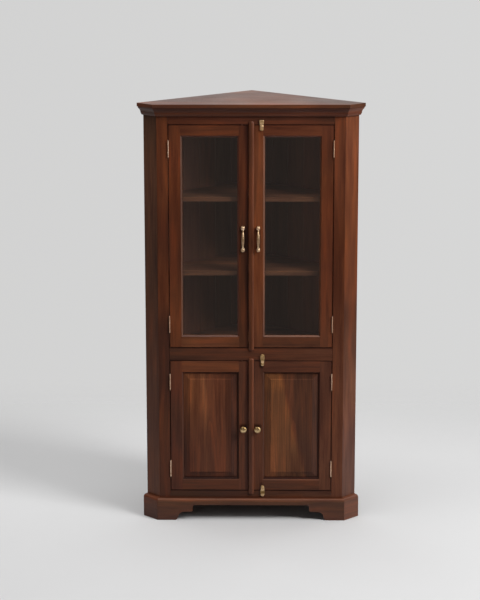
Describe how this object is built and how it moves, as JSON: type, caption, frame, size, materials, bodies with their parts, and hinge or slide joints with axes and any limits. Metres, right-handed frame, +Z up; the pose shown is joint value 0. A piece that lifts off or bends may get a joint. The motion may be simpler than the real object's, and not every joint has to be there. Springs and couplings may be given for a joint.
{
  "type": "corner cupboard",
  "caption": "Free-standing corner cupboard: glazed double doors over panelled double doors, canted returns, cornice, bracket-foot plinth, brass pulls, knobs and turn catches.",
  "frame": {"origin": "middle of the footprint's box, on the floor", "axes": "+Z up, -Y out of the front, +Y into the room corner, +X to the right seen from the front; the two wall planes are at 45 degrees to X and Y"},
  "size_m": [1.0038, 0.573, 1.9],
  "materials": {
    "case_wood": "satin lacquered reddish-brown hardwood, grain along each board",
    "frame_wood": "satin lacquered reddish-brown hardwood, grain along each board",
    "door_wood": "satin lacquered reddish-brown hardwood, grain along each rail and stile",
    "panel_wood": "satin lacquered hardwood with strong two-tone figure",
    "interior_wood": "duller inside boards",
    "brass": "satin lacquered brass, slightly aged",
    "glass": "clear flat glass"
  },
  "bodies": {
    "cupboard_case": {"back_corner_post": "case_wood", "back_panel_left": "interior_wood", "back_panel_right": "interior_wood", "bottom_board": "interior_wood", "cornice_front": "case_wood", "cornice_left": "case_wood", "cornice_right": "case_wood", "frame_rail_bottom": "frame_wood", "frame_rail_middle": "frame_wood", "frame_rail_top": "frame_wood", "frame_stile_left": "frame_wood", "frame_stile_right": "frame_wood", "lower_shelf": "interior_wood", "middle_deck": "interior_wood", "plinth_front": "case_wood", "plinth_left": "case_wood", "plinth_right": "case_wood", "side_return_left": "case_wood", "side_return_right": "case_wood", "top_board": "case_wood", "upper_shelf_high": "interior_wood", "upper_shelf_low": "interior_wood", "upper_left_top_hinge_frame_leaf": "brass", "upper_left_bottom_hinge_frame_leaf": "brass", "upper_right_top_hinge_frame_leaf": "brass", "upper_right_bottom_hinge_frame_leaf": "brass", "lower_left_top_hinge_frame_leaf": "brass", "lower_left_bottom_hinge_frame_leaf": "brass", "lower_right_top_hinge_frame_leaf": "brass", "lower_right_bottom_hinge_frame_leaf": "brass"},
    "upper_left_door": {"upper_left_door_frame": "door_wood", "upper_left_glass": "glass", "upper_left_glazing_bead": "door_wood", "upper_left_pull": "brass", "upper_left_top_hinge_door_leaf": "brass", "upper_left_bottom_hinge_door_leaf": "brass", "upper_left_ball_catch": "brass"},
    "upper_right_door": {"upper_right_door_frame": "door_wood", "upper_right_glass": "glass", "upper_right_glazing_bead": "door_wood", "upper_right_pull": "brass", "upper_right_top_hinge_door_leaf": "brass", "upper_right_bottom_hinge_door_leaf": "brass", "upper_right_astragal": "door_wood"},
    "lower_left_door": {"lower_left_door_frame": "door_wood", "lower_left_panel": "panel_wood", "lower_left_knob": "brass", "lower_left_top_hinge_door_leaf": "brass", "lower_left_bottom_hinge_door_leaf": "brass", "lower_left_ball_catch": "brass"},
    "lower_right_door": {"lower_right_door_frame": "door_wood", "lower_right_panel": "panel_wood", "lower_right_knob": "brass", "lower_right_top_hinge_door_leaf": "brass", "lower_right_bottom_hinge_door_leaf": "brass", "lower_right_astragal": "door_wood"},
    "upper_right_turn_catch_body": {"upper_right_turn_catch": "brass"},
    "lower_right_turn_catch_top_body": {"lower_right_turn_catch_top": "brass"},
    "lower_right_turn_catch_bottom_body": {"lower_right_turn_catch_bottom": "brass"}
  },
  "joints": [
    {"name": "upper_left_door_hinge", "type": "hinge", "parent": "cupboard_case", "child": "upper_left_door", "pos_m": [-0.36375, -0.2528, 1.306], "axis": [0, 0, -1], "range_deg": [0, 150]},
    {"name": "upper_right_door_hinge", "type": "hinge", "parent": "cupboard_case", "child": "upper_right_door", "pos_m": [0.36375, -0.2528, 1.306], "axis": [0, 0, 1], "range_deg": [0, 150]},
    {"name": "lower_left_door_hinge", "type": "hinge", "parent": "cupboard_case", "child": "lower_left_door", "pos_m": [-0.36375, -0.2528, 0.442], "axis": [0, 0, -1], "range_deg": [0, 150]},
    {"name": "lower_right_door_hinge", "type": "hinge", "parent": "cupboard_case", "child": "lower_right_door", "pos_m": [0.36375, -0.2528, 0.442], "axis": [0, 0, 1], "range_deg": [0, 150]},
    {"name": "upper_right_turn_catch_turn", "type": "hinge", "parent": "upper_right_door", "child": "upper_right_turn_catch_body", "pos_m": [0.046, -0.2485, 1.788], "axis": [0, 1, 0], "range_deg": [0, 90]},
    {"name": "lower_right_turn_catch_top_turn", "type": "hinge", "parent": "lower_right_door", "child": "lower_right_turn_catch_top_body", "pos_m": [0.0515, -0.2485, 0.7295], "axis": [0, 1, 0], "range_deg": [0, 90]},
    {"name": "lower_right_turn_catch_bottom_turn", "type": "hinge", "parent": "lower_right_door", "child": "lower_right_turn_catch_bottom_body", "pos_m": [0.053, -0.2485, 0.1512], "axis": [0, -1, 0], "range_deg": [0, 90]}
  ]
}
